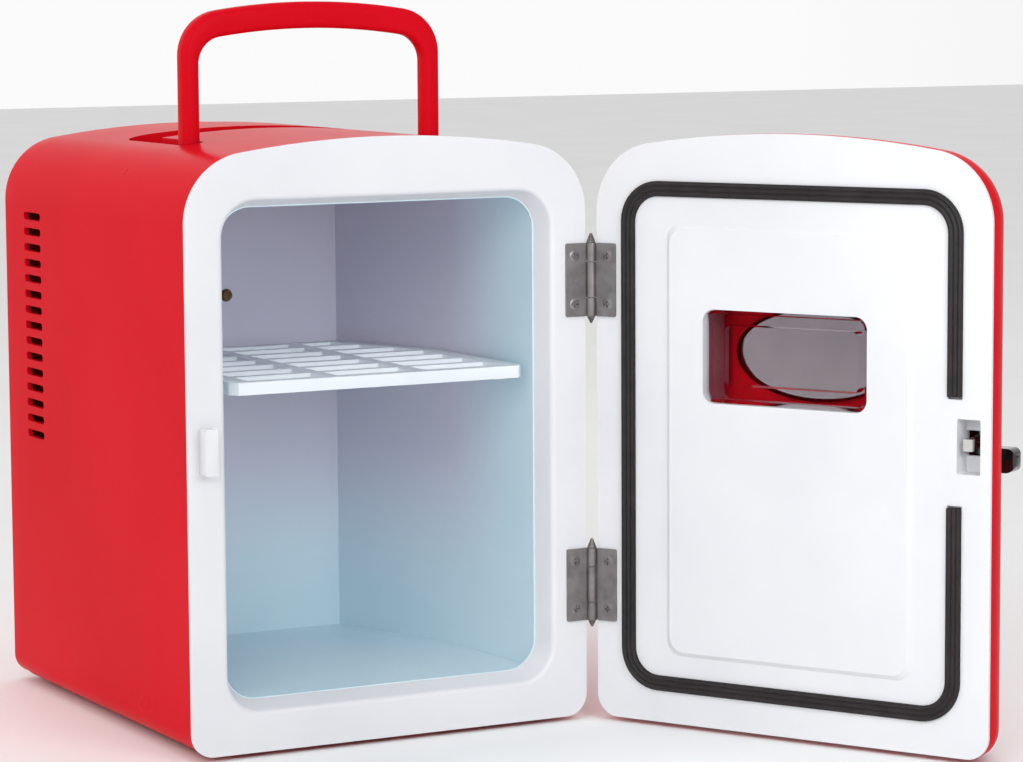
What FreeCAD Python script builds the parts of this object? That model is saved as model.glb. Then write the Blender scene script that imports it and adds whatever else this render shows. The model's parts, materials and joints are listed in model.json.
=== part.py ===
import FreeCAD, Part
import Sketcher
import math
import os

# Table-top thermoelectric mini fridge, door open and carry handle raised.
# Own frame: X to the right, Y to the back, Z up, origin on the ground under the middle of the cabinet.
# Heights are given from the lower edge of the cabinet: the helpers below add the height of the feet.

doc = FreeCAD.newDocument("MiniFridge")
sheet = doc.addObject("Spreadsheet::Sheet", "dims")

DIMENSIONS = [
    ("width", 190.0),             # cabinet and door outline
    ("apex", 259.4),              # highest point of the crowned top
    ("crown_radius", 456.0),
    ("corner_radius", 30.0),      # upper corners of the outline
    ("base_radius", 10.0),        # lower corners of the outline
    ("body_depth", 217.0),        # front of the bezel to back of the rear cover
    ("foot_height", 2.2),
    ("foot_radius", 9.0),
    ("foot_x", 62.0),
    ("foot_y", 76.0),
    ("wall", 2.5),                # moulded walls
    ("clearance", 0.3),
    ("bezel_edge", 1.5),          # white edge of the bezel in front of the red shell
    ("bezel_throat", 11.0),       # depth of the bezel's mouth
    ("shell_inset", 0.8),
    ("cover_depth", 16.0),        # rear cover
    ("cover_inset", 1.2),
    ("mouth_front_x", 78.3),
    ("mouth_back_x", 75.0),
    ("mouth_front_low", 17.2),
    ("mouth_front_high", 234.6),
    ("mouth_back_low", 21.0),
    ("mouth_back_high", 231.0),
    ("mouth_radius", 16.0),
    ("liner_front_x", 74.6),      # half widths of the space inside
    ("liner_bend_x", 69.0),
    ("liner_back_x", 46.0),
    ("liner_bend", 88.0),         # depths behind the bezel's face
    ("liner_back", 151.6),
    ("liner_low", 21.4),
    ("liner_high", 230.6),
    ("liner_sheet", 1.2),
    ("shelf_x", 70.0),
    ("shelf_top", 156.7),
    ("shelf_thick", 5.4),
    ("shelf_front", 10.0),
    ("shelf_bar", 5.6),
    ("vent_low", 116.5),          # lowest side vent
    ("vent_pitch", 7.16),
    ("vent_tall", 3.5),
    ("vent_front", 168.5),
    ("vent_long", 20.7),
    ("core_height", 160.0),       # middle of the cooling parts
    ("handle_behind", 79.0),      # middle of the handle behind the bezel's face
    ("handle_half", 62.5),
    ("handle_leg", 8.0),
    ("handle_thick", 9.0),
    ("handle_apex", 315.8),
    ("handle_bar", 11.7),
    ("handle_crown", 300.0),
    ("handle_corner", 20.0),
    ("handle_pivot", 248.0),
    ("channel_floor", 243.0),
    ("door_gap", 2.5),
    ("door_edge", 1.5),           # white edge of the door's inner panel
    ("door_straight", 5.0),       # straight side before the dome starts
    ("dome_radius", 25.0),
    ("door_open", 119.03),        # degrees, door as it stands at rest
    ("hinge_x", 97.2),
    ("hinge_proud", 1.25),        # hinge axis in front of the bezel's face
    ("barrel_radius", 2.4),
    ("leaf_tall", 32.2),
    ("leaf_thick", 1.0),
    ("leaf_x", 85.0),
    ("upper_hinge", 177.9),
    ("lower_hinge", 42.7),
    ("window_left", -38.4),
    ("window_right", 40.8),
    ("window_low", 142.8),
    ("window_high", 183.5),
    ("lens_half_width", 38.0),
    ("lens_half_height", 19.0),
    ("lens_height", 163.0),
    ("panel_x", 59.4),            # raised field of the door's inner panel
    ("panel_low", 30.3),
    ("panel_high", 219.8),
    ("panel_proud", 1.5),
    ("gasket_x", 81.9),
    ("gasket_low", 14.2),
    ("gasket_high", 237.9),
    ("gasket_wide", 6.5),
    ("gasket_radius", 18.0),
    ("gasket_proud", 1.8),
    ("latch_x", -83.0),           # latch pin
    ("latch_depth", 17.0),
]


class Size:
    """A length that knows both its number and the sheet expression it comes from."""

    def __init__(self, number, text):
        self.number = number
        self.text = text

    def __add__(self, other):
        other = as_size(other)
        return Size(self.number + other.number, "(%s + %s)" % (self.text, other.text))

    def __sub__(self, other):
        other = as_size(other)
        return Size(self.number - other.number, "(%s - %s)" % (self.text, other.text))

    def __mul__(self, other):
        other = as_size(other)
        return Size(self.number * other.number, "(%s * %s)" % (self.text, other.text))

    def __truediv__(self, other):
        other = as_size(other)
        return Size(self.number / other.number, "(%s / %s)" % (self.text, other.text))

    def __radd__(self, other):
        return as_size(other) + self

    def __rsub__(self, other):
        return as_size(other) - self

    def __rmul__(self, other):
        return as_size(other) * self

    def __neg__(self):
        return 0.0 - self


def as_size(value):
    if isinstance(value, Size):
        return value
    return Size(float(value), "(%.6f)" % value)


def fill_sheet():
    sizes = {}
    for row, (alias, number) in enumerate(DIMENSIONS, start=1):
        sheet.set("A%d" % row, alias)
        sheet.set("B%d" % row, repr(number))
        sheet.setAlias("B%d" % row, alias)
        sizes[alias] = Size(number, "dims." + alias)
    doc.recompute()
    return sizes


S = fill_sheet()
FRONT = -S["body_depth"] / 2             # face of the bezel
BACK = S["body_depth"] / 2
SHELL_FRONT = FRONT + S["bezel_edge"]
SHELL_BACK = BACK - S["cover_depth"]
INSIDE = S["shell_inset"] + S["wall"]    # inset of the shell's inner face from the outline
NECK_INSET = INSIDE + S["clearance"]
LINER_FRONT = FRONT + S["bezel_throat"]
LINER_BEND = FRONT + S["liner_bend"]
LINER_BACK = FRONT + S["liner_back"]
CORE = S["core_height"]
HANDLE_Y = FRONT + S["handle_behind"]
DOOR_FACE = FRONT - S["door_gap"]        # inner face of the closed door
HINGE_Y = FRONT - S["hinge_proud"]
BLOCK_DROP = 14.0                        # extra thickness of the top round the handle channel
BLOCK_FRONT = -42.0
BLOCK_BACK = 44.0
PIN_PLAY = 0.05                          # radial play of a pin in its bore
PIVOT_RADIUS = 1.5                       # handle pins and latch pin
SCREW_RADIUS = 1.45                      # shank of every small screw
CHANNEL_CUT = 20.0                       # from above the top down to the channel's floor
SCREW_X = 85.0                           # rear cover screws
SCREW_HEIGHTS = (25.0, 233.0)
VENT_COUNT = 15
VENT_ROUND = 1.7
MOUTH_LIP = 2.6                          # rounding of the bezel's mouth
FLANGE_X = 84.0                          # flange of the liner
FLANGE_LOW = 14.0
FLANGE_HIGH = 236.0
FOAM_BACK = 58.0
CORE_X = 18.0                            # half sizes of the cold block
CORE_Z = 27.0
CORE_FRONT = LINER_BACK + S["liner_sheet"] + 0.1
PELTIER_FRONT = CORE_FRONT + 16.0
SINK_FRONT = PELTIER_FRONT + 3.6
SINK_BACK = SINK_FRONT + 15.0
FAN_FRONT = SINK_BACK + 0.5
FAN_DEEP = 15.0
FAN_HALF = 40.0
FAN_HOLE = 35.75
FAN_BORE = 37.5
PANEL_FLOOR = BACK - 3.0                 # floor of the recess that holds the inlets and the switch
PANEL_HEIGHT = 46.0
SWITCH_X = -42.0
AC_X = 40.0
DC_X = 4.0
LED_PLACES = (-24.0, -16.0)
BOARD_BACK = BACK - 22.5
SHELF_ROWS = 7
SHELF_PITCH = 19.3
SHELF_COLUMN = 42.0
SHELF_SLOT_X = 18.0                      # half length of a slot
SHELF_SLOT_Y = 14.3
CLAMP_X = 10.0                           # screws that clamp the cold block to the liner
CLAMP_Z = 20.5
HEAD_TALL = 2.0
FIN_COUNT = 15
BLADE_COUNT = 7
BLADE_REACH = 36.0
GRILLE_COUNT = 9
GRILLE_PITCH = 8.0
GRILLE_RADIUS = 38.0
HINGE_SCREW_X = 89.0
HINGE_PIN = 1.1
KNUCKLE = 8.05                           # outer knuckles; the middle one fills the rest
KNUCKLE_GAP = 0.3
LEAF_HEAD = 0.2                          # screw heads proud of the hinge leaves
CROSS_LONG = 1.4                         # half sizes of the cross in a hinge screw
CROSS_WIDE = 0.35
CROSS_DEEP = 0.8
DOME_STEPS = (22.5, 45.0, 67.5, 90.0)    # degrees round the dome's edge
LATCH_Y = DOOR_FACE - S["latch_depth"]
LEVER_LOW = 117.1
LEVER_HIGH = 127.6
TONGUE_LOW = 129.8
TONGUE_HIGH = 134.8
STRIKER_LIP = -84.2                      # edge that the hook of the latch holds behind
nodes = []


def bind(item, prop, value):
    item.setExpression(prop, as_size(value).text)


def lifted(height):
    return as_size(height) + S["foot_height"]


def node(item, name):
    """Name a finished sub-part and keep it for export."""
    item.Label = name
    nodes.append(item)
    return item


# ---------------------------------------------------------------- solids from primitives

def box(name, x0, x1, y0, y1, z0, z1):
    item = doc.addObject("Part::Box", name)
    bind(item, "Length", as_size(x1) - x0)
    bind(item, "Width", as_size(y1) - y0)
    bind(item, "Height", as_size(z1) - z0)
    bind(item, "Placement.Base.x", x0)
    bind(item, "Placement.Base.y", y0)
    bind(item, "Placement.Base.z", lifted(z0))
    return item


AXIS_TURNS = {
    "X": FreeCAD.Rotation(FreeCAD.Vector(0, 1, 0), 90),
    "Y": FreeCAD.Rotation(FreeCAD.Vector(1, 0, 0), -90),
    "Z": FreeCAD.Rotation(),
}


def place_on_axis(item, axis, x, y, z):
    item.Placement = FreeCAD.Placement(FreeCAD.Vector(), AXIS_TURNS[axis])
    bind(item, "Placement.Base.x", x)
    bind(item, "Placement.Base.y", y)
    bind(item, "Placement.Base.z", lifted(z))
    return item


def rod(name, axis, x, y, z, radius, length):
    """Round bar that starts at x, y, z and runs along the positive axis."""
    item = doc.addObject("Part::Cylinder", name)
    bind(item, "Radius", radius)
    bind(item, "Height", length)
    return place_on_axis(item, axis, x, y, z)


def cone(name, axis, x, y, z, radius_start, radius_end, length):
    item = doc.addObject("Part::Cone", name)
    bind(item, "Radius1", radius_start)
    bind(item, "Radius2", radius_end)
    bind(item, "Height", length)
    return place_on_axis(item, axis, x, y, z)


def fuse(name, items):
    item = doc.addObject("Part::MultiFuse", name)
    item.Shapes = items
    item.Refine = True
    return item


def cut(name, base, tools):
    tool = tools[0]
    if len(tools) > 1:
        tool = fuse(name + "_tools", tools)
    item = doc.addObject("Part::Cut", name)
    item.Base = base
    item.Tool = tool
    return item


def group(name, items):
    """Separate equal pieces that share one node."""
    item = doc.addObject("Part::Compound", name)
    item.Links = items
    return item


# ---------------------------------------------------------------- sketches

PLANE_ROLES = {"XY": "XY_Plane", "XZ": "XZ_Plane", "YZ": "YZ_Plane"}


def new_body(name):
    return doc.addObject("PartDesign::Body", name)


def sketch_on(body, name, plane, offset):
    """Sketch on a plane of the body. The offset is the place along Z, Y or X."""
    item = body.newObject("Sketcher::SketchObject", name)
    for feature in body.Origin.OriginFeatures:
        if feature.Role == PLANE_ROLES[plane]:
            item.AttachmentSupport = (feature, [""])
    item.MapMode = "FlatFace"
    along = lifted(offset) if plane == "XY" else as_size(offset)
    if plane == "XZ":
        along = -along
    bind(item, "AttachmentOffset.Base.z", along)
    return item


def hold(sketch, kind, places, name, value):
    """Named sketch dimension bound to the sheet."""
    sketch.addConstraint(Sketcher.Constraint(kind, *places, as_size(value).number))
    sketch.renameConstraint(sketch.ConstraintCount - 1, name)
    sketch.setExpression("Constraints." + name, as_size(value).text)


def arc(centre_x, centre_y, radius, start, end):
    circle = Part.Circle(FreeCAD.Vector(centre_x, centre_y, 0), FreeCAD.Vector(0, 0, 1), radius)
    return Part.ArcOfCircle(circle, start, end)


def line(x0, y0, x1, y1):
    return Part.LineSegment(FreeCAD.Vector(x0, y0, 0), FreeCAD.Vector(x1, y1, 0))


def join_smooth(sketch, first, second):
    """The end of the first edge runs on tangent into the start of the second."""
    sketch.addConstraint(Sketcher.Constraint("Tangent", first, 2, second, 1))


def crowned(body, name, y, half, low, apex, crown, corner, base):
    """Upright outline: flat foot, straight sides, rounded corners and a crowned top."""
    sketch = sketch_on(body, name, "XZ", y)
    low = lifted(low)
    apex = lifted(apex)
    w, zb, za = half.number, low.number, apex.number
    rk, rc, rb = as_size(crown).number, as_size(corner).number, as_size(base).number
    crown_y = za - rk
    reach = rk - rc
    lean = math.acos((w - rc) / reach)
    corner_y = crown_y + math.sqrt(reach ** 2 - (w - rc) ** 2)
    quarter = math.pi / 2
    edges = [
        line(-w + rb, zb, w - rb, zb),
        arc(w - rb, zb + rb, rb, -quarter, 0),
        line(w, zb + rb, w, corner_y),
        arc(w - rc, corner_y, rc, 0, lean),
        arc(0, crown_y, rk, lean, math.pi - lean),
        arc(-w + rc, corner_y, rc, math.pi - lean, math.pi),
        line(-w, corner_y, -w, zb + rb),
        arc(-w + rb, zb + rb, rb, math.pi, math.pi + quarter),
    ]
    sketch.addGeometry(edges, False)
    for index in range(len(edges)):
        join_smooth(sketch, index, (index + 1) % len(edges))
    for side in (2, 6):
        sketch.addConstraint(Sketcher.Constraint("Vertical", side))
    sketch.addConstraint(Sketcher.Constraint("Symmetric", 0, 1, 0, 2, -2))
    sketch.addConstraint(Sketcher.Constraint("PointOnObject", 4, 3, -2))
    sketch.addConstraint(Sketcher.Constraint("Equal", 1, 7))
    sketch.addConstraint(Sketcher.Constraint("Equal", 3, 5))
    hold(sketch, "Radius", (4,), "crown", crown)
    hold(sketch, "Radius", (3,), "corner", corner)
    hold(sketch, "Radius", (1,), "base", base)
    hold(sketch, "DistanceX", (6, 1, 2, 1), "across", half * 2)
    hold(sketch, "DistanceY", (-1, 1, 0, 1), "low", low)
    hold(sketch, "DistanceY", (4, 3, -1, 1), "crown_centre", crown - apex)
    return sketch


def case_outline(body, name, y, inset, drop=0.0, base=None):
    """The outline shared by the cabinet and the door, moved inwards by an inset."""
    inset = as_size(inset)
    base = S["base_radius"] - inset if base is None else base
    return crowned(body, name, y, S["width"] / 2 - inset, inset, S["apex"] - inset - drop,
                   S["crown_radius"] - inset, S["corner_radius"] - inset, base)


def closed(body, name, plane, offset, corners):
    """Closed outline through corners (across, up, radius). Zero radius leaves a corner sharp."""
    sketch = sketch_on(body, name, plane, offset)
    upright = plane != "XY"
    points = []
    for across, up, radius in corners:
        up = lifted(up) if upright else as_size(up)
        points.append((as_size(across), up, as_size(radius)))
    count = len(points)
    spots = [FreeCAD.Vector(across.number, up.number, 0) for across, up, radius in points]
    starts, ends, arcs = [], [], []
    for index in range(count):
        here = spots[index]
        back = (spots[index - 1] - here).normalize()
        ahead = (spots[(index + 1) % count] - here).normalize()
        radius = points[index][2].number
        half_angle = back.getAngle(ahead) / 2
        run = radius / math.tan(half_angle)
        ends.append(here + back * run)
        starts.append(here + ahead * run)
        arcs.append(None)
        if radius > 0:
            middle = (back + ahead).normalize()
            centre = here + middle * (radius / math.sin(half_angle))
            bulge = centre - middle * radius
            arcs[index] = Part.Arc(ends[index], bulge, starts[index])
    lines = []
    for index in range(count):
        after = (index + 1) % count
        lines.append(sketch.addGeometry(Part.LineSegment(starts[index], ends[after]), False))
    for index in range(count):
        across, up, radius = points[index]
        before, after = lines[index - 1], lines[index]
        label = "c%d" % index
        if arcs[index] is None:
            sketch.addConstraint(Sketcher.Constraint("Coincident", before, 2, after, 1))
            held = (after, 1)
        else:
            round_edge = sketch.addGeometry(arcs[index], False)
            join_round(sketch, before, round_edge, after, ends[index])
            hold(sketch, "Radius", (round_edge,), label + "_round", radius)
            mark = sketch.addGeometry(Part.Point(spots[index]), True)
            sketch.addConstraint(Sketcher.Constraint("PointOnObject", mark, 1, before))
            sketch.addConstraint(Sketcher.Constraint("PointOnObject", mark, 1, after))
            held = (mark, 1)
        hold(sketch, "DistanceX", (-1, 1) + held, label + "_across", across)
        hold(sketch, "DistanceY", (-1, 1) + held, label + "_up", up)
    return sketch


def join_round(sketch, before, round_edge, after, entry):
    """Join a rounding to the two lines, whichever way round its ends were stored."""
    stored = sketch.Geometry[round_edge].StartPoint
    first, last = (1, 2) if stored.distanceToPoint(entry) < 1e-6 else (2, 1)
    sketch.addConstraint(Sketcher.Constraint("Tangent", before, 2, round_edge, first))
    sketch.addConstraint(Sketcher.Constraint("Tangent", round_edge, last, after, 1))


def rectangle(body, name, plane, offset, x0, x1, y0, y1, radius):
    corners = [(x0, y0, radius), (x1, y0, radius), (x1, y1, radius), (x0, y1, radius)]
    return closed(body, name, plane, offset, corners)


def oval(body, name, y, half_width, half_height, height):
    sketch = sketch_on(body, name, "XZ", y)
    centre = lifted(height)
    wide, tall = as_size(half_width), as_size(half_height)
    middle = FreeCAD.Vector(0, centre.number, 0)
    side = FreeCAD.Vector(wide.number, centre.number, 0)
    top = FreeCAD.Vector(0, centre.number + tall.number, 0)
    sketch.addGeometry(Part.Ellipse(side, top, middle), False)
    sketch.exposeInternalGeometry(0)
    sketch.addConstraint(Sketcher.Constraint("PointOnObject", 0, 3, -2))
    sketch.addConstraint(Sketcher.Constraint("Horizontal", 1))
    hold(sketch, "DistanceX", (1, 1, 1, 2), "wide", wide * 2)
    hold(sketch, "DistanceY", (2, 1, 2, 2), "tall", tall * 2)
    hold(sketch, "DistanceY", (-1, 1, 0, 3), "centre", centre)
    return sketch


# ---------------------------------------------------------------- features

def extrude(body, kind, sketch, length, turned):
    feature = body.newObject("PartDesign::" + kind, sketch.Name + "_" + kind.lower())
    feature.Profile = sketch
    bind(feature, "Length", length)
    feature.Reversed = turned
    return feature


def pad(body, sketch, length, turned=False):
    """Material on the sketch's own side: towards -Y, +Z or +X."""
    return extrude(body, "Pad", sketch, length, turned)


def pocket(body, sketch, length, turned=False):
    """Material taken away behind the sketch: towards +Y, -Z or -X."""
    return extrude(body, "Pocket", sketch, length, turned)


def loft(body, kind, sketches):
    feature = body.newObject("PartDesign::" + kind, sketches[0].Name + "_loft")
    feature.Profile = sketches[0]
    feature.Sections = sketches[1:]
    return feature


def slab(name, y0, y1, inset, drop=0.0, base=None):
    """Body filling the case outline from y0 back to y1."""
    body = new_body(name)
    pad(body, case_outline(body, name + "_outline", y1, inset, drop, base), as_size(y1) - y0)
    return body


def plate(name, plane, offset, x0, x1, y0, y1, radius, length):
    """Body from one rounded rectangle."""
    body = new_body(name)
    pad(body, rectangle(body, name + "_outline", plane, offset, x0, x1, y0, y1, radius), length)
    return body


# ---------------------------------------------------------------- cabinet

def outer_shell():
    """Red crowned tube with side vents and the channel that the handle folds into."""
    body = new_body("shell_tube")
    pad(body, case_outline(body, "shell_outside", SHELL_BACK, S["shell_inset"]), SHELL_BACK - SHELL_FRONT)
    runs = [(SHELL_FRONT, BLOCK_FRONT, 0.0), (BLOCK_FRONT, BLOCK_BACK, BLOCK_DROP), (BLOCK_BACK, SHELL_BACK, 0.0)]
    for index, (start, end, drop) in enumerate(runs):
        hollow = case_outline(body, "shell_inside_%d" % index, start, INSIDE, drop)
        pocket(body, hollow, as_size(end) - start)
    vent_slots(body)
    pocket(body, handle_channel_outline(body), CHANNEL_CUT)
    corner_screws = [(x, z) for x in (-SCREW_X, SCREW_X) for z in SCREW_HEIGHTS]
    bosses, holes = [], []
    for index, (x, z) in enumerate(corner_screws):
        bosses.append(rod("shell_boss_%d" % index, "Y", x, SHELL_BACK - 18, z, 7.6, 17.8))
        holes.append(rod("shell_pilot_%d" % index, "Y", x, SHELL_BACK - 17, z, SCREW_RADIUS + PIN_PLAY, 30.0))
    inside = slab("shell_boss_limit", SHELL_BACK - 18, SHELL_BACK, S["shell_inset"] + 1)
    kept = doc.addObject("Part::Common", "shell_bosses")
    kept.Base = fuse("shell_boss_rods", bosses)
    kept.Tool = inside
    pivots = rod("shell_pivot_bore", "X", -S["handle_half"] - 3.5, HANDLE_Y, S["handle_pivot"],
                 PIVOT_RADIUS + PIN_PLAY, (S["handle_half"] + 3.5) * 2)
    return node(cut("outer_shell", fuse("shell_with_bosses", [body, kept]), holes + [pivots]), "outer_shell")


def vent_slots(body):
    """Row of slots with round ends through both sides."""
    front = FRONT + S["vent_front"]
    low = S["vent_low"]
    high = low + S["vent_tall"]
    slot = rectangle(body, "vent_slot", "YZ", 0, front, front + S["vent_long"], low, high, VENT_ROUND)
    through = pocket(body, slot, S["width"])
    through.Midplane = True
    row = body.newObject("PartDesign::LinearPattern", "vent_row")
    row.Originals = [through]
    row.Direction = (slot, ["V_Axis"])
    row.Occurrences = VENT_COUNT
    bind(row, "Length", S["vent_pitch"] * (VENT_COUNT - 1))
    body.Tip = row


def handle_channel_outline(body):
    """U-shaped outline seen from above: two legs and the bar behind them."""
    outer = S["handle_half"] + 1.3
    inner = S["handle_half"] - S["handle_leg"] - 1.3
    front = HANDLE_Y - S["handle_thick"] / 2 - 2.5
    bar_back = HANDLE_Y + (S["handle_apex"] - S["handle_pivot"]) + 2
    bar_front = HANDLE_Y + (S["handle_apex"] - S["handle_bar"] - S["handle_pivot"]) - 13
    corners = [(-outer, front, 4), (-inner, front, 4), (-inner, bar_front, 0), (inner, bar_front, 0),
               (inner, front, 4), (outer, front, 4), (outer, bar_back, 17), (-outer, bar_back, 17)]
    return closed(body, "handle_channel", "XY", S["channel_floor"] + CHANNEL_CUT, corners)


def front_bezel():
    """White frame round the opening, with a flared mouth and a neck inside the shell."""
    body = new_body("bezel_frame")
    pad(body, case_outline(body, "bezel_face", SHELL_FRONT, 0.0), S["bezel_edge"])
    pad(body, case_outline(body, "bezel_neck", LINER_FRONT, NECK_INSET), LINER_FRONT - SHELL_FRONT)
    mouth = []
    for name, y, half, low, high, radius in [
            ("mouth_front", FRONT, S["mouth_front_x"], S["mouth_front_low"], S["mouth_front_high"],
             S["mouth_radius"]),
            ("mouth_back", LINER_FRONT, S["mouth_back_x"], S["mouth_back_low"], S["mouth_back_high"],
             S["mouth_radius"] - 2)]:
        mouth.append(rectangle(body, name, "XZ", y, -half, half, low, high, radius))
    flare = loft(body, "SubtractiveLoft", mouth)
    doc.recompute()
    lip = body.newObject("PartDesign::Fillet", "mouth_lip")
    lip.Base = (flare, edges_of_mouth(flare.Shape))
    lip.Radius = MOUTH_LIP
    body.Tip = lip
    holes = hinge_screw_rods("bezel_hole", SCREW_RADIUS + PIN_PLAY, FRONT - 1, 10.5)
    return node(cut("front_bezel", body, holes), "front_bezel")


def edges_of_mouth(shape):
    """Names of the edges round the mouth in the bezel's face."""
    names = []
    limit = S["mouth_front_x"].number + 0.1
    for index, edge in enumerate(shape.Edges, start=1):
        box_of_edge = edge.BoundBox
        on_face = abs(box_of_edge.YMin - FRONT.number) < 1e-4 and box_of_edge.YLength < 1e-4
        inside = max(abs(box_of_edge.XMin), abs(box_of_edge.XMax)) < limit
        low_enough = box_of_edge.ZMax < lifted(S["mouth_front_high"]).number + 0.1
        high_enough = box_of_edge.ZMin > lifted(S["mouth_front_low"]).number - 0.1
        if on_face and inside and low_enough and high_enough:
            names.append("Edge%d" % index)
    return names


def liner_plan(grow):
    """Corners of the space inside, seen from above, grown outwards."""
    front = LINER_FRONT - 2
    back = LINER_BACK + grow
    return [(-S["liner_front_x"] - grow, front, 0), (S["liner_front_x"] + grow, front, 0),
            (S["liner_bend_x"] + grow, LINER_BEND, 0), (S["liner_back_x"] + grow, back, 0),
            (-S["liner_back_x"] - grow, back, 0), (-S["liner_bend_x"] - grow, LINER_BEND, 0)]


def liner_half(behind):
    """Half width of the space inside, just clear of its wall, at a length behind the liner's front."""
    taper = (S["liner_front_x"] - S["liner_bend_x"]) / (S["liner_bend"] - S["bezel_throat"] + 2)
    return S["liner_front_x"] - taper * (as_size(behind) + 2) - 0.03


def inner_liner():
    """Bent sheet tub, with a flange behind the bezel whose opening has round corners."""
    sheet_thick = S["liner_sheet"]
    body = new_body("liner_tub")
    outside = closed(body, "liner_outside", "XY", S["liner_low"] - sheet_thick, liner_plan(sheet_thick))
    pad(body, outside, S["liner_high"] - S["liner_low"] + sheet_thick * 2)
    inside = closed(body, "liner_inside", "XY", S["liner_high"], liner_plan(0))
    pocket(body, inside, S["liner_high"] - S["liner_low"])
    trim = box("liner_trim", -100, 100, LINER_FRONT - 5, LINER_FRONT, 0, 260)
    holes = clamp_screw_rods("liner_hole", SCREW_RADIUS + PIN_PLAY, LINER_BACK - 2, 6)
    tub = cut("liner_tub_open", body, [trim] + holes)
    flange_back = LINER_FRONT + sheet_thick
    flange = plate("liner_flange", "XZ", flange_back, -FLANGE_X, FLANGE_X, FLANGE_LOW, FLANGE_HIGH, 12, sheet_thick)
    half = S["liner_front_x"]
    opening = plate("liner_opening", "XZ", flange_back + 1, -half, half, S["liner_low"], S["liner_high"],
                    S["mouth_radius"] - 2.4, sheet_thick + 2)
    ring = cut("liner_flange_ring", flange, [opening])
    return node(fuse("inner_liner", [ring, tub]), "inner_liner")


def cabinet_insulation():
    """Foam between the liner and the shell, open where the cold block passes through it."""
    front = LINER_FRONT + S["liner_sheet"] + 0.1
    foam = slab("foam_block", front, FOAM_BACK, NECK_INSET, BLOCK_DROP + 0.5)
    tub = new_body("foam_tub_space")
    low = S["liner_low"] - S["liner_sheet"] - 0.2
    space = closed(tub, "foam_tub_outline", "XY", low, liner_plan(S["liner_sheet"] + 0.2))
    pad(tub, space, S["liner_high"] - S["liner_low"] + (S["liner_sheet"] + 0.2) * 2)
    hole = box("foam_core_space", -CORE_X - 0.5, CORE_X + 0.5, LINER_BACK, FOAM_BACK + 1,
               CORE - CORE_Z - 0.5, CORE + CORE_Z + 0.5)
    return node(cut("cabinet_insulation", foam, [tub, hole]), "cabinet_insulation")


def shelf():
    """Shelf that follows the liner, with three columns of slots clipped by its slanted corners."""
    low = S["shelf_top"] - S["shelf_thick"]
    body = new_body("shelf_plate")
    pad(body, closed(body, "shelf_outline", "XY", low, shelf_plan(0)), S["shelf_thick"])
    field = new_body("shelf_field")
    pad(field, closed(field, "shelf_field_outline", "XY", low - 1, shelf_plan(S["shelf_bar"])), S["shelf_thick"] + 2)
    front = FRONT + S["shelf_front"] + 6.5
    slots = []
    for column in (-1, 0, 1):
        for row in range(SHELF_ROWS):
            y = front + row * SHELF_PITCH
            middle = SHELF_COLUMN * column
            slots.append(box("shelf_slot_%d_%d" % (column + 1, row), middle - SHELF_SLOT_X, middle + SHELF_SLOT_X,
                             y, y + SHELF_SLOT_Y, low - 0.5, S["shelf_top"] + 0.5))
    opened = doc.addObject("Part::Common", "shelf_slots")
    opened.Base = fuse("shelf_slot_boxes", slots)
    opened.Tool = field
    return node(cut("shelf", body, [opened]), "shelf")


def shelf_plan(inset):
    """Corners of the shelf seen from above; the slanted rear corners follow the liner."""
    half = S["shelf_x"]
    bend_half = S["liner_bend_x"] - 1 - inset
    front = FRONT + S["shelf_front"] + inset
    bend = LINER_BEND - 1
    back = LINER_BACK - 1.5 - inset
    rear = S["liner_back_x"] - 1.2 - inset
    return [(-half + inset + 3, front, 0), (half - inset - 3, front, 0), (half - inset, front + 4, 0),
            (bend_half, bend, 0), (rear, back, 0), (-rear, back, 0),
            (-bend_half, bend, 0), (-half + inset, front + 4, 0)]


def shelf_rails():
    """Ledges on the sides of the liner that carry the shelf."""
    rails = []
    top = S["shelf_top"] - S["shelf_thick"] - 0.2
    front, back = 22.0, 73.0
    for name, side in (("left", -1), ("right", 1)):
        body = new_body("rail_" + name)
        inner = (S["shelf_x"] - 3.5) * side
        corners = [(inner, LINER_FRONT + front, 0), (liner_half(front) * side, LINER_FRONT + front, 0),
                   (liner_half(back) * side, LINER_FRONT + back, 0), (inner, LINER_FRONT + back, 0)]
        if side < 0:
            corners.reverse()
        pad(body, closed(body, "rail_outline_" + name, "XY", top - 3, corners), 3)
        rails.append(body)
    return node(group("shelf_rails", rails), "shelf_rails")


def clamp_places():
    return [(-CLAMP_X, CORE + CLAMP_Z), (CLAMP_X, CORE - CLAMP_Z)]


def clamp_screw_rods(name, radius, y, length):
    return [rod("%s_%d" % (name, index), "Y", x, y, z, radius, length)
            for index, (x, z) in enumerate(clamp_places())]


def screw(name, axis, x, y, z, length, head):
    """Pan head screw that points along the positive axis; x, y, z is under the head."""
    parts = [rod(name + "_shank", axis, x, y, z, SCREW_RADIUS, length)]
    step = HEAD_TALL
    places = {"X": (x - step, y, z), "Y": (x, y - step, z), "Z": (x, y, z - step)}
    hx, hy, hz = places[axis]
    parts.append(cone(name + "_head", axis, hx, hy, hz, head * 0.72, head, step))
    recess_long = box(name + "_cross_a", x - head * 0.5, x + head * 0.5, hy - 0.5, hy + 0.55, z - 0.3, z + 0.3)
    recess_tall = box(name + "_cross_b", x - 0.3, x + 0.3, hy - 0.5, hy + 0.55, z - head * 0.5, z + head * 0.5)
    return cut(name, fuse(name + "_blank", parts), [recess_long, recess_tall])


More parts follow.
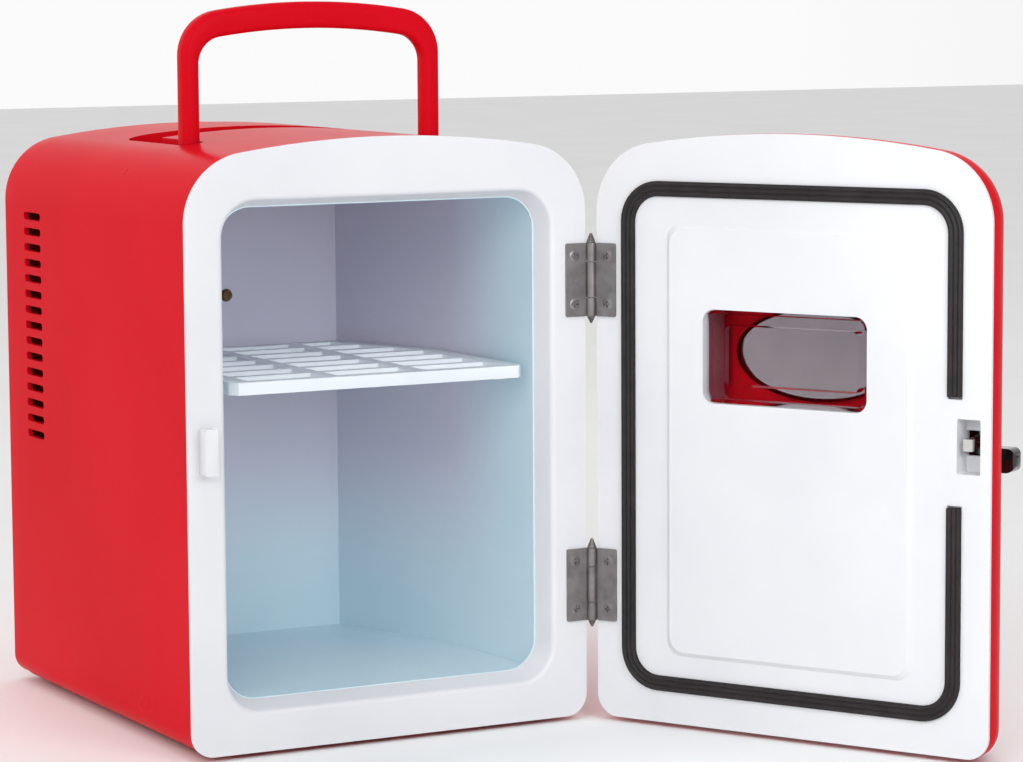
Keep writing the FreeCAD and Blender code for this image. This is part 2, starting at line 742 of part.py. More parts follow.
def screw_from_behind(name, x, y, z, length, head):
    """Pan head screw that points to the front; y is under the head."""
    parts = [rod(name + "_shank", "Y", x, as_size(y) - length, z, SCREW_RADIUS, length),
             cone(name + "_head", "Y", x, y, z, head, head * 0.72, HEAD_TALL)]
    top = as_size(y) + HEAD_TALL
    recess_long = box(name + "_cross_a", x - head * 0.5, x + head * 0.5, top - 0.55, top + 0.5, z - 0.3, z + 0.3)
    recess_tall = box(name + "_cross_b", x - 0.3, x + 0.3, top - 0.55, top + 0.5, z - head * 0.5, z + head * 0.5)
    return cut(name, fuse(name + "_blank", parts), [recess_long, recess_tall])


def liner_screws():
    screws = [screw("liner_screw_%d" % index, "Y", x, LINER_BACK, z, 12, 3.0)
              for index, (x, z) in enumerate(clamp_places())]
    return node(group("liner_screws", screws), "liner_screws")


def cold_side():
    """Cold block clamped behind the liner, with the Peltier module on its back."""
    block = box("cold_block_bar", -CORE_X, CORE_X, CORE_FRONT, PELTIER_FRONT, CORE - CORE_Z, CORE + CORE_Z)
    pilots = clamp_screw_rods("cold_pilot", SCREW_RADIUS + PIN_PLAY, LINER_BACK, 14)
    node(cut("cold_block", block, pilots), "cold_block")
    module = box("peltier_module", -15, 15, PELTIER_FRONT, SINK_FRONT, CORE - 15, CORE + 15)
    node(module, "peltier_module")


def fan_corners():
    return [(x, CORE + z) for x in (-FAN_HOLE, FAN_HOLE) for z in (-FAN_HOLE, FAN_HOLE)]


def hot_heatsink():
    """Finned plate on the hot side, with four posts for the fan screws."""
    parts = [box("sink_base", -45, 45, SINK_FRONT, SINK_FRONT + 5, CORE - 40, CORE + 40)]
    for index in range(FIN_COUNT):
        x = -44 + index * 88 / (FIN_COUNT - 1)
        parts.append(box("sink_fin_%d" % index, x - 0.6, x + 0.6, SINK_FRONT + 4.5, SINK_BACK, CORE - 40, CORE + 40))
    holes = []
    for index, (x, z) in enumerate(fan_corners()):
        parts.append(rod("sink_post_%d" % index, "Y", x, SINK_FRONT + 4, z, 3.6, SINK_BACK - SINK_FRONT - 3.6))
        holes.append(rod("sink_pilot_%d" % index, "Y", x, SINK_FRONT + 5, z, SCREW_RADIUS + PIN_PLAY, 20))
    return node(cut("hot_heatsink", fuse("sink_blank", parts), holes), "hot_heatsink")


def fan():
    """Axial fan: square frame with a stator cup on struts, and a seven-bladed rotor."""
    frame = plate("fan_plate", "XZ", FAN_FRONT + FAN_DEEP, -FAN_HALF, FAN_HALF, CORE - FAN_HALF,
                  CORE + FAN_HALF, 4, FAN_DEEP)
    holes = [rod("fan_bore", "Y", 0, FAN_FRONT - 1, CORE, FAN_BORE, FAN_DEEP + 2)]
    for index, (x, z) in enumerate(fan_corners()):
        holes.append(rod("fan_hole_%d" % index, "Y", x, FAN_FRONT - 1, z, 2.1, FAN_DEEP + 2))
    ring = cut("fan_ring", frame, holes)
    struts = [rod("fan_stator", "Y", 0, FAN_FRONT, CORE, 12, 2.5),
              rod("fan_axle", "Y", 0, FAN_FRONT, CORE, 1.5, 10),
              box("fan_strut_a", -FAN_BORE - 0.5, FAN_BORE + 0.5, FAN_FRONT, FAN_FRONT + 2, CORE - 1.5, CORE + 1.5),
              box("fan_strut_b", -1.5, 1.5, FAN_FRONT, FAN_FRONT + 2, CORE - FAN_BORE - 0.5, CORE + FAN_BORE + 0.5)]
    node(fuse("fan_frame", [ring] + struts), "fan_frame")
    hub = rod("rotor_hub", "Y", 0, FAN_FRONT + 3.2, CORE, 15, 11)
    blades = []
    for index in range(BLADE_COUNT):
        blades.append(rotor_blade(index))
    bore = rod("rotor_bore", "Y", 0, FAN_FRONT, CORE, 1.5 + PIN_PLAY, 10.3)
    node(cut("fan_rotor", fuse("rotor_blank", [hub] + blades), [bore]), "fan_rotor")
    screws = [screw_from_behind("fan_screw_%d" % index, x, FAN_FRONT + FAN_DEEP, z, 22, 3.2)
              for index, (x, z) in enumerate(fan_corners())]
    node(group("fan_screws", screws), "fan_screws")


def rotor_blade(index):
    """Flat blade set at a pitch and turned round the fan's axis."""
    blade = doc.addObject("Part::Box", "rotor_blade_%d" % index)
    blade.Length = BLADE_REACH - 13
    blade.Width = 1.2
    blade.Height = 12
    pitch = FreeCAD.Placement(FreeCAD.Vector(13, 0, 0), FreeCAD.Rotation(FreeCAD.Vector(1, 0, 0), 50),
                              FreeCAD.Vector(0, 0.6, 6))
    turn = FreeCAD.Rotation(FreeCAD.Vector(0, 1, 0), index * 360 / BLADE_COUNT)
    middle = FreeCAD.Vector(0, (FAN_FRONT + 8.4).number, lifted(CORE).number)
    blade.Placement = FreeCAD.Placement(middle, turn) * pitch
    return blade


def rear_cover():
    """Cover with a fan grille, screw wells, and a recess for the switch and the inlets."""
    body = new_body("cover_shell")
    outline = case_outline(body, "cover_outside", BACK, S["cover_inset"])
    whole = pad(body, outline, S["cover_depth"])
    doc.recompute()
    rim = body.newObject("PartDesign::Fillet", "cover_rim")
    rim.Base = (whole, edges_at_back(whole.Shape))
    rim.Radius = 3.5
    body.Tip = rim
    inner = case_outline(body, "cover_inside", SHELL_BACK, S["cover_inset"] + S["wall"])
    pocket(body, inner, S["cover_depth"] - S["wall"])
    low, high = PANEL_HEIGHT - 18, PANEL_HEIGHT + 18
    added = [plate("cover_panel", "XZ", BACK - 2, -64, 64, low - 2, high + 2, 5, 3.5)]
    tools = [plate("cover_recess", "XZ", BACK + 1, -61, 61, low, high, 4, BACK + 1 - PANEL_FLOOR)]
    for index, (x, z) in enumerate([(x, z) for x in (-SCREW_X, SCREW_X) for z in SCREW_HEIGHTS]):
        added.append(rod("cover_post_%d" % index, "Y", x, SHELL_BACK, z, 5.5, S["cover_depth"] - 1))
        tools.append(rod("cover_well_%d" % index, "Y", x, BACK - 4, z, 4.0, 6))
        tools.append(rod("cover_hole_%d" % index, "Y", x, SHELL_BACK - 1, z, SCREW_RADIUS + 0.1, 20))
    for index, (x, z) in enumerate(board_corners()):
        added.append(rod("cover_stud_%d" % index, "Y", x, BOARD_BACK, z, 3.2, BACK - 2 - BOARD_BACK))
        tools.append(rod("cover_pilot_%d" % index, "Y", x, BOARD_BACK - 1, z, SCREW_RADIUS + PIN_PLAY, 9))
    tools += grille_slots()
    tools.append(switch_hole())
    tools.append(plate("ac_hole", "XZ", BACK, AC_X - 12, AC_X + 12, PANEL_HEIGHT - 9, PANEL_HEIGHT + 9, 3, 8))
    tools.append(rod("dc_hole", "Y", DC_X, BACK - 8, PANEL_HEIGHT, 8.0, 8))
    for index, x in enumerate(LED_PLACES):
        tools.append(rod("led_hole_%d" % index, "Y", x, BACK - 8, PANEL_HEIGHT + 12, 1.6, 9))
    return node(cut("rear_cover", fuse("cover_blank", [body] + added), tools), "rear_cover")


def edges_at_back(shape):
    names = []
    for index, edge in enumerate(shape.Edges, start=1):
        if edge.BoundBox.YLength < 1e-4 and abs(edge.BoundBox.YMin - BACK.number) < 1e-4:
            names.append("Edge%d" % index)
    return names


def grille_slots():
    """Level slots that fill a circle in front of the fan."""
    slots = []
    for index in range(GRILLE_COUNT):
        rise = (index - (GRILLE_COUNT - 1) / 2) * GRILLE_PITCH
        half = math.sqrt(GRILLE_RADIUS ** 2 - rise ** 2)
        slots.append(plate("grille_%d" % index, "XZ", BACK + 1, -half, half, CORE + rise - 2, CORE + rise + 2,
                           1.9, 6))
    return slots


def switch_hole():
    return plate("switch_hole", "XZ", BACK, SWITCH_X - 7.5, SWITCH_X + 7.5, PANEL_HEIGHT - 11,
                 PANEL_HEIGHT + 11, 0, 8)


def board_corners():
    return [(x, z) for x in (-54.0, 54.0) for z in (PANEL_HEIGHT - 24, PANEL_HEIGHT + 26)]


def power_board():
    """Board behind the cover, with a transformer, capacitors and a terminal block."""
    y = BOARD_BACK - 1.6
    low = PANEL_HEIGHT - 30
    parts = [box("board_plate", -60, 60, y, BOARD_BACK, low, PANEL_HEIGHT + 32),
             box("board_transformer", -20, 14, y - 18, y + 0.1, PANEL_HEIGHT - 14, PANEL_HEIGHT + 14),
             box("board_terminals", 24, 48, y - 10, y + 0.1, PANEL_HEIGHT + 8, PANEL_HEIGHT + 18),
             box("board_cooler", -44, -40, y - 16, y + 0.1, PANEL_HEIGHT - 16, PANEL_HEIGHT + 16)]
    for index, z in enumerate((PANEL_HEIGHT - 12, PANEL_HEIGHT + 4)):
        parts.append(rod("board_capacitor_%d" % index, "Y", 34, y - 16, z, 6, 16.1))
    holes = [rod("board_hole_%d" % index, "Y", x, y - 1, z, SCREW_RADIUS + 0.1, 4)
             for index, (x, z) in enumerate(board_corners())]
    node(cut("power_board", fuse("board_blank", parts), holes), "power_board")
    screws = [screw("board_screw_%d" % index, "Y", x, y, z, 8, 2.8)
              for index, (x, z) in enumerate(board_corners())]
    node(group("board_screws", screws), "board_screws")


def mode_switch():
    """Switch housing with a rocker that tips on a level pin."""
    low, high = PANEL_HEIGHT - 10.8, PANEL_HEIGHT + 10.8
    left, right = SWITCH_X - 7.3, SWITCH_X + 7.3
    housing = box("switch_box", left, right, PANEL_FLOOR - 12, PANEL_FLOOR, low, high)
    flange = plate("switch_flange", "XZ", PANEL_FLOOR + 1, left - 1.5, right + 1.5, low - 1.5, high + 1.5, 1, 1)
    hollow = box("switch_hollow", left + 1.3, right - 1.3, PANEL_FLOOR - 10, PANEL_FLOOR + 2, low + 1.3, high - 1.3)
    pin = rod("switch_pin", "X", left + 1, PANEL_FLOOR - 2.5, PANEL_HEIGHT, 1.0, 12.6)
    node(fuse("mode_switch_frame", [cut("switch_shell", fuse("switch_blank", [housing, flange]), [hollow]), pin]),
         "mode_switch_frame")
    body = new_body("rocker_body")
    y = PANEL_FLOOR
    top = 8.9
    corners = [(y - 5.5, PANEL_HEIGHT - 3.5, 1), (y + 0.2, PANEL_HEIGHT - top, 1), (y + 2.1, PANEL_HEIGHT - top, 0.8),
               (y + 1.3, PANEL_HEIGHT, 0), (y + 2.1, PANEL_HEIGHT + top, 0.8), (y + 0.2, PANEL_HEIGHT + top, 1),
               (y - 5.5, PANEL_HEIGHT + 3.5, 1)]
    pad(body, closed(body, "rocker_outline", "YZ", left + 1.6, corners), 11.4)
    bore = rod("rocker_bore", "X", left, PANEL_FLOOR - 2.5, PANEL_HEIGHT, 1.0 + PIN_PLAY, 15)
    node(cut("mode_switch_rocker", body, [bore]), "mode_switch_rocker")


def inlets():
    """Mains inlet with two pins, and a round inlet for the car lead."""
    y = PANEL_FLOOR
    shell = plate("ac_shell", "XZ", y, AC_X - 11.8, AC_X + 11.8, PANEL_HEIGHT - 8.8, PANEL_HEIGHT + 8.8, 3, 16)
    flange = plate("ac_flange", "XZ", y + 1, AC_X - 14, AC_X + 14, PANEL_HEIGHT - 11, PANEL_HEIGHT + 11, 3, 1)
    hollow = plate("ac_hollow", "XZ", y + 2, AC_X - 8, AC_X + 8, PANEL_HEIGHT - 4.5, PANEL_HEIGHT + 4.5, 4.4, 14)
    pins = [rod("ac_pin_%d" % side, "Y", AC_X + (side - 0.5) * 8, y - 13, PANEL_HEIGHT, 1.2, 11) for side in (0, 1)]
    node(fuse("ac_inlet", [cut("ac_body", fuse("ac_blank", [shell, flange]), [hollow])] + pins), "ac_inlet")
    tube = rod("dc_tube", "Y", DC_X, y - 16, PANEL_HEIGHT, 7.8, 16)
    ring = rod("dc_ring", "Y", DC_X, y, PANEL_HEIGHT, 9.5, 1)
    bore = rod("dc_bore", "Y", DC_X, y - 12, PANEL_HEIGHT, 5.5, 14)
    pin = rod("dc_pin", "Y", DC_X, y - 13, PANEL_HEIGHT, 1.2, 10)
    node(fuse("dc_inlet", [cut("dc_body", fuse("dc_blank", [tube, ring]), [bore]), pin]), "dc_inlet")


def indicator_leds():
    lights = []
    for index, x in enumerate(LED_PLACES):
        lights.append(rod("led_%d" % index, "Y", x, PANEL_FLOOR - 5, PANEL_HEIGHT + 12, 1.5, 5.8))
    return node(group("indicator_leds", lights), "indicator_leds")


def rear_cover_screws():
    screws = []
    for index, (x, z) in enumerate([(x, z) for x in (-SCREW_X, SCREW_X) for z in SCREW_HEIGHTS]):
        screws.append(screw_from_behind("cover_screw_%d" % index, x, BACK - 4, z, 22, 3.4))
    return node(group("rear_cover_screws", screws), "rear_cover_screws")


def rubber_feet():
    feet = []
    for side in (-1, 1):
        for end in (-1, 1):
            name = "foot_%d%d" % (side + 1, end + 1)
            low = -S["foot_height"]
            pieces = [cone(name + "_edge", "Z", S["foot_x"] * side, S["foot_y"] * end, low,
                           S["foot_radius"] - 0.8, S["foot_radius"], 0.8),
                      rod(name + "_pad", "Z", S["foot_x"] * side, S["foot_y"] * end, low + 0.8, S["foot_radius"],
                          S["foot_height"] + S["shell_inset"] - 0.8)]
            feet.append(fuse(name, pieces))
    return node(group("rubber_feet", feet), "rubber_feet")


def carry_handle():
    """Arched bail whose legs end in round bosses on their pins."""
    half = S["handle_half"]
    leg = S["handle_leg"]
    back = HANDLE_Y + S["handle_thick"] / 2
    body = new_body("handle_arch")
    low = S["handle_pivot"] - 8
    outside = crowned(body, "handle_outside", back, half, low, S["handle_apex"], S["handle_crown"],
                      S["handle_corner"], 3.0)
    pad(body, outside, S["handle_thick"])
    inside = crowned(body, "handle_inside", back, half - leg, low - 20, S["handle_apex"] - S["handle_bar"],
                     S["handle_crown"], S["handle_corner"] - leg, 3.0)
    pocket(body, inside, S["handle_thick"], True)
    below = box("handle_trim", -80, 80, HANDLE_Y - 10, HANDLE_Y + 10, low - 5, S["handle_pivot"])
    legs = cut("handle_legs", body, [below])
    bosses = [rod("handle_boss_%d" % index, "X", start, HANDLE_Y, S["handle_pivot"], S["handle_thick"] / 2, leg)
              for index, start in enumerate((-half, half - leg))]
    bore = rod("handle_bore", "X", -half - 1, HANDLE_Y, S["handle_pivot"], PIVOT_RADIUS + PIN_PLAY, half * 2 + 2)
    return node(cut("carry_handle", fuse("handle_blank", [legs] + bosses), [bore]), "carry_handle")


def handle_pins():
    half = S["handle_half"]
    leg = S["handle_leg"]
    pins = [rod("handle_pin_%d" % index, "X", start, HANDLE_Y, S["handle_pivot"], PIVOT_RADIUS, leg + 6)
            for index, start in enumerate((-half - 3, half - leg - 3))]
    return node(group("handle_pins", pins), "handle_pins")


def latch_striker():
    """Catch on the bezel: a block with a pocket that the latch's hook enters from the middle."""
    left, low, high = -90.0, 120.5, 140.0
    base = plate("striker_base", "XZ", FRONT, left, -81.2, low, high, 1.0, 1.0)
    block = plate("striker_block", "XZ", FRONT, left, STRIKER_LIP, low, high, 0.8, 7.3)
    undercut = box("striker_undercut", left + 1.8, STRIKER_LIP + 1, FRONT - 4.8, FRONT - 1.0, low - 1, high - 3)
    return node(cut("latch_striker", fuse("striker_blank", [base, block]), [undercut]), "latch_striker")


# ---------------------------------------------------------------- hinges

def hinge_places():
    return [("upper", S["upper_hinge"]), ("lower", S["lower_hinge"])]


def screw_heights(low):
    return [low + 5.5, low + S["leaf_tall"] - 5.5]


def hinge_screw_rods(name, radius, y, length):
    rods = []
    for place, low in hinge_places():
        for index, z in enumerate(screw_heights(low)):
            rods.append(rod("%s_%s_%d" % (name, place, index), "Y", HINGE_SCREW_X, y, z, radius, length))
    return rods


def knuckle(name, low, tall):
    return rod(name, "Z", S["hinge_x"], HINGE_Y, low, S["barrel_radius"], tall)


def hinge_leaf(name, low, y0, knuckles):
    """Leaf with its knuckles, each a height above the leaf's foot and a length."""
    tall = S["leaf_tall"]
    y1 = y0 + S["leaf_thick"]
    parts = [plate(name + "_plate", "XZ", y1, S["leaf_x"], S["width"] / 2 - 0.3, low, low + tall, 0.8,
                   S["leaf_thick"])]
    for index, (rise, length) in enumerate(knuckles):
        parts.append(knuckle("%s_knuckle_%d" % (name, index), low + rise, length))
        parts.append(box("%s_bridge_%d" % (name, index), S["width"] / 2 - 1, S["hinge_x"], y0, y1,
                         low + rise, low + rise + length))
    tools = [rod(name + "_bore", "Z", S["hinge_x"], HINGE_Y, low - 1, HINGE_PIN + PIN_PLAY, tall + 2)]
    for index, z in enumerate(screw_heights(low)):
        tools.append(rod("%s_hole_%d" % (name, index), "Y", HINGE_SCREW_X, y0 - 1, z, SCREW_RADIUS + 0.1, 3))
    return cut(name, fuse(name + "_blank", parts), tools)


def cabinet_hinges():
    for place, low in hinge_places():
        knuckles = [(0.0, KNUCKLE), (S["leaf_tall"] - KNUCKLE, KNUCKLE)]
        name = "hinge_%s_cabinet_leaf" % place
        node(hinge_leaf(name, low, FRONT - S["leaf_thick"], knuckles), name)
        name = "hinge_%s_pin" % place
        shank = rod(name + "_shank", "Z", S["hinge_x"], HINGE_Y, low - 1.6, HINGE_PIN, S["leaf_tall"] + 3.2)
        crown = cone(name + "_head", "Z", S["hinge_x"], HINGE_Y, low + S["leaf_tall"] + 0.2, 2.1, 0.5, 4.0)
        tail = cone(name + "_tail", "Z", S["hinge_x"], HINGE_Y, low - 3.1, 0.4, 1.8, 2.9)
        node(fuse(name, [shank, crown, tail]), name)
    screws = []
    for place, low in hinge_places():
        for index, z in enumerate(screw_heights(low)):
            screws.append(hinge_screw("cabinet_screw_%s_%d" % (place, index), FRONT - S["leaf_thick"], z, -1))
    node(group("hinge_screws_cabinet", screws), "hinge_screws_cabinet")


def hinge_screw(name, y, z, side):
    """Flat screw for a leaf; side -1 has its head in front of y, side 1 behind it."""
    x = HINGE_SCREW_X
    if side < 0:
        shank = rod(name + "_shank", "Y", x, y - 0.1, z, SCREW_RADIUS, 8)
        head = cone(name + "_head", "Y", x, y - LEAF_HEAD, z, 1.6, 2.4, LEAF_HEAD)
        y0 = y - LEAF_HEAD - 0.1
    else:
        shank = rod(name + "_shank", "Y", x, as_size(y) - 7.9, z, SCREW_RADIUS, 8)
        head = cone(name + "_head", "Y", x, y, z, 2.4, 1.6, LEAF_HEAD)
        y0 = y + LEAF_HEAD + 0.1 - CROSS_DEEP
    long, wide = CROSS_LONG, CROSS_WIDE
    slots = [box(name + "_cross_a", x - long, x + long, y0, y0 + CROSS_DEEP, z - wide, z + wide),
             box(name + "_cross_b", x - wide, x + wide, y0, y0 + CROSS_DEEP, z - long, z + long)]
    return cut(name, fuse(name + "_blank", [shank, head]), slots)


# ---------------------------------------------------------------- door, modelled closed

def depth(value):
    """Place along Y of a depth into the door from its inner face."""
    return DOOR_FACE - value


def swing(item):
    """Turn a finished door piece about the hinge axis to where the open door stands."""
    axis_point = FreeCAD.Vector(S["hinge_x"].number, HINGE_Y.number, 0)
    turn = FreeCAD.Rotation(FreeCAD.Vector(0, 0, 1), S["door_open"].number)
    item.Placement = FreeCAD.Placement(FreeCAD.Vector(), turn, axis_point)
    return item


def door_node(item, name):
    return swing(node(item, name))


def dome_sections(body, name, inset, radius):
    """Outlines from the end of the straight side round to the flat front of the dome."""
    straight = S["door_straight"]
    sketches = [case_outline(body, name + "_0", depth(straight), inset)]
    for index, angle in enumerate(DOME_STEPS, start=1):
        turn = math.radians(angle)
        step_in = inset + radius * (1 - math.cos(turn))
        base = S["base_radius"] - inset * 0.5 - radius * (1 - math.cos(turn)) * 0.2
        y = depth(straight + radius * math.sin(turn))
        sketches.append(case_outline(body, "%s_%d" % (name, index), y, step_in, 0.0, base))
    return sketches


def door_outer_shell():
    """Domed red shell, open to the inner panel, with the oval window and the latch slot."""
    body = new_body("door_dome")
    start = S["door_edge"]
    straight = S["door_straight"] - start
    pad(body, case_outline(body, "dome_side", depth(start), 0.0), straight)
    loft(body, "AdditiveLoft", dome_sections(body, "dome_outside", as_size(0.0), S["dome_radius"]))
    cavity = new_body("door_cavity")
    pad(cavity, case_outline(cavity, "cavity_side", depth(start - 1), S["wall"]), straight + 1)
    loft(cavity, "AdditiveLoft", dome_sections(cavity, "cavity_dome", S["wall"], S["dome_radius"] - S["wall"]))
    window = new_body("lens_opening")
    pad(window, oval(window, "lens_opening_outline", depth(20), S["lens_half_width"], S["lens_half_height"],
                     S["lens_height"]), 12)
    slot = box("latch_slot", S["latch_x"] - 4.8, S["latch_x"] + 3.2, depth(34), depth(18), 121.8, 128.6)
    door_node(cut("door_outer_shell", body, [cavity, window, slot]), "door_outer_shell")


def gasket_ring(name, y0, y1, grow, gap_low, gap_high):
    """Ring round the door's inner face, open beside the latch."""
    x, wide, radius = S["gasket_x"], S["gasket_wide"], S["gasket_radius"]
    low, high = S["gasket_low"], S["gasket_high"]
    outer = plate(name + "_outer", "XZ", y1, -x - grow, x + grow, low - grow, high + grow, radius + grow, y1 - y0)
    inner = plate(name + "_inner", "XZ", y1 + 1, -x + wide + grow, x - wide - grow, low + wide + grow,
                  high - wide - grow, radius - wide, y1 - y0 + 2)
    gap = box(name + "_gap", -S["width"] / 2, -S["gasket_x"] + wide + 1, y0 - 1, y1 + 1, gap_low, gap_high)
    return cut(name, outer, [inner, gap])


def door_inner_panel():
    """White panel: rim, bevelled raised field, gasket groove, window opening and latch well."""
    body = new_body("panel_sheet")
    pad(body, case_outline(body, "panel_rim", DOOR_FACE, 0.0), S["door_edge"])
    pad(body, case_outline(body, "panel_plug", DOOR_FACE, NECK_INSET - S["shell_inset"]), 3.5)
    field = []
    for name, rise, inset in (("field_foot", 0.0, 0.0), ("field_face", S["panel_proud"], 2.0)):
        half = S["panel_x"] - inset
        field.append(rectangle(body, name, "XZ", DOOR_FACE + rise, -half, half, S["panel_low"] + inset,
                               S["panel_high"] - inset, 7.0))
    loft(body, "AdditiveLoft", field)
    well = [box("latch_housing", -91.2, -78, depth(12), depth(0.5), 118.3, 144.8)]
    tools = [plate("latch_well", "XZ", depth(-1), -90.3, -79.5, 120, 143.1, 0.8, 10.8),
             box("latch_floor_slot", -87.3, -79.6, depth(13), depth(9), 126.8, 137.5),
             rod("latch_lug_bore", "Z", S["latch_x"], LATCH_Y, 115, PIVOT_RADIUS + PIN_PLAY, 30),
             plate("window_opening", "XZ", depth(-3), S["window_left"], S["window_right"], S["window_low"],
                   S["window_high"], 5.5, 8),
             gasket_ring("gasket_groove", depth(2), depth(-1), 0.1, 106.6, 151.2)]
    for index, z in enumerate((119.5, 138.2)):
        well.append(box("latch_lug_%d" % index, -85.8, -79, depth(20), depth(11.5), z, z + 3))
    tools += hinge_screw_rods("panel_hole", SCREW_RADIUS + PIN_PLAY, depth(6), 8)
    door_node(cut("door_inner_panel", fuse("panel_blank", [body] + well), tools), "door_inner_panel")


def door_gasket():
    door_node(gasket_ring("door_gasket", depth(1.9), depth(-S["gasket_proud"]), 0.0, 105.6, 152.2), "door_gasket")


def door_insulation():
    """Foam slab inside the door, cut round the window tray and the latch."""
    foam = slab("door_foam", depth(20), depth(3.8), 12.0, 0.0, 4.0)
    tools = [box("foam_latch_space", -100, -76, depth(25), depth(0), 114, 149),
             plate("foam_window_space", "XZ", depth(0), S["window_left"] - 1, S["window_right"] + 1,
                   S["window_low"] - 1, S["window_high"] + 1, 5.5, 30)]
    door_node(cut("door_insulation", foam, tools), "door_insulation")


def door_window():
    """Clear stepped tray on the inside and tinted oval lens on the outside."""
    play = 0.3
    left, right = S["window_left"] + play, S["window_right"] - play
    low, high = S["window_low"] + play, S["window_high"] - play
    body = new_body("tray_body")
    pad(body, rectangle(body, "tray_outline", "XZ", depth(0.2), left, right, low, high, 5.2), 13)
    for index, (inset, floor, radius) in enumerate(((1.5, 5.0, 4.0), (7.0, 11.8, 3.0))):
        step = rectangle(body, "tray_step_%d" % index, "XZ", depth(floor), left + inset, right - inset,
                         low + inset, high - inset, radius)
        pocket(body, step, floor + 1)
    door_node(body, "window_inner_tray")
    lens = new_body("lens_body")
    wide, tall = S["lens_half_width"] - play, S["lens_half_height"] - play
    front = S["door_straight"] + S["dome_radius"]
    flange = oval(lens, "lens_flange", depth(front - 4.4), wide + 1.4, tall + 1.4, S["lens_height"])
    pad(lens, flange, 1.7)
    pad(lens, oval(lens, "lens_plug", depth(front - 4.4), wide, tall, S["lens_height"]), 4.4)
    door_node(lens, "window_oval_lens")


def lever_bar():
    """Finger bar of the latch, with round ends."""
    left, right = -92.0, -47.0
    plan = new_body("lever_plan")
    corners = [(left, depth(39), 3.9), (right - 11, depth(39), 6), (right, depth(37), 1.5),
               (right, depth(33.5), 2), (left, depth(31), 2)]
    pad(plan, closed(plan, "lever_outline", "XY", LEVER_LOW, corners), LEVER_HIGH - LEVER_LOW)
    front = new_body("lever_front")
    corners = [(left, LEVER_LOW, 5.2), (right, LEVER_LOW, 3), (right, LEVER_HIGH, 3), (left, LEVER_HIGH, 4.4)]
    pad(front, closed(front, "lever_front_outline", "XZ", depth(30), corners), 10)
    bar = doc.addObject("Part::Common", "lever_bar")
    bar.Base = plan
    bar.Tool = front
    return bar


def latch():
    """Lever outside the door and steel hook inside it, on one upright pin."""
    x = S["latch_x"]
    inner = x + 0.6
    shank = [STRIKER_LIP + 0.3, inner, depth(15.2), depth(0.2), TONGUE_LOW, TONGUE_HIGH]
    tip = box("tongue_tip", STRIKER_LIP - 2.4, inner, depth(2.0), depth(0.2), TONGUE_LOW, TONGUE_HIGH)
    door_node(fuse("latch_tongue", [box("tongue_shank", *shank), tip]), "latch_tongue")
    bar = lever_bar()
    hub = rod("lever_hub", "Z", x, LATCH_Y, 122.8, 3.5, 12.4)
    arm = box("lever_arm", x - 2, x + 2, depth(32), LATCH_Y, 122.8, LEVER_HIGH)
    tools = [rod("lever_bore", "Z", x, LATCH_Y, 120, PIVOT_RADIUS + PIN_PLAY, 20), box("lever_socket", *shank)]
    door_node(cut("latch_lever", fuse("lever_blank", [bar, hub, arm]), tools), "latch_lever")
    pin = rod("latch_pin_bar", "Z", x, LATCH_Y, 119.3, PIVOT_RADIUS, 22)
    door_node(group("latch_pin", [pin]), "latch_pin")
    coils = []
    for index in range(3):
        coil = doc.addObject("Part::Torus", "latch_coil_%d" % index)
        coil.Radius1 = 2.3
        coil.Radius2 = 0.45
        coils.append(place_on_axis(coil, "Z", x, LATCH_Y, 135.75 + index * 0.85))
    legs = [rod("latch_leg_low", "X", x, LATCH_Y - 2.3, 135.75, 0.4, 7),
            rod("latch_leg_high", "X", x, LATCH_Y + 2.3, 137.45, 0.4, 6)]
    door_node(fuse("latch_spring", coils + legs), "latch_spring")


def door_hinges():
    for place, low in hinge_places():
        start = KNUCKLE + KNUCKLE_GAP
        name = "hinge_%s_door_leaf" % place
        leaf = hinge_leaf(name, low, DOOR_FACE, [(start, S["leaf_tall"] - start * 2)])
        door_node(leaf, name)
    screws = []
    for place, low in hinge_places():
        for index, z in enumerate(screw_heights(low)):
            screws.append(hinge_screw("door_screw_%s_%d" % (place, index), DOOR_FACE + S["leaf_thick"], z, 1))
    door_node(group("hinge_screws_door", screws), "hinge_screws_door")


# ---------------------------------------------------------------- build and export

def build():
    outer_shell()
    front_bezel()
    inner_liner()
    cabinet_insulation()
    shelf()
    shelf_rails()
    liner_screws()
    cold_side()
    hot_heatsink()
    fan()
    rear_cover()
    power_board()
    mode_switch()
    inlets()
    indicator_leds()
    rear_cover_screws()
    rubber_feet()
    carry_handle()
    handle_pins()
    latch_striker()
    cabinet_hinges()
    door_outer_shell()
    door_inner_panel()
    door_gasket()
    door_insulation()
    door_window()
    latch()
    door_hinges()


def check():
    """Stop before anything is written if an object failed or a sub-part is not sound."""
    for item in doc.Objects:
        if "Invalid" in item.State or "Error" in item.State:
            raise RuntimeError("%s failed: %s" % (item.Name, item.State))
    for item in nodes:
        if item.Shape.isNull() or not item.Shape.isValid() or not item.Shape.Solids:
            raise RuntimeError("%s has no sound shape" % item.Label)


def export():
    os.makedirs("parts", exist_ok=True)
    for item in nodes:
        item.Shape.exportStep("parts/%s.step" % item.Label)


build()
doc.recompute()
check()
export()
print("wrote %d sub-parts" % len(nodes))
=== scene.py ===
import bpy
import json
import math
from mathutils import Matrix, Vector


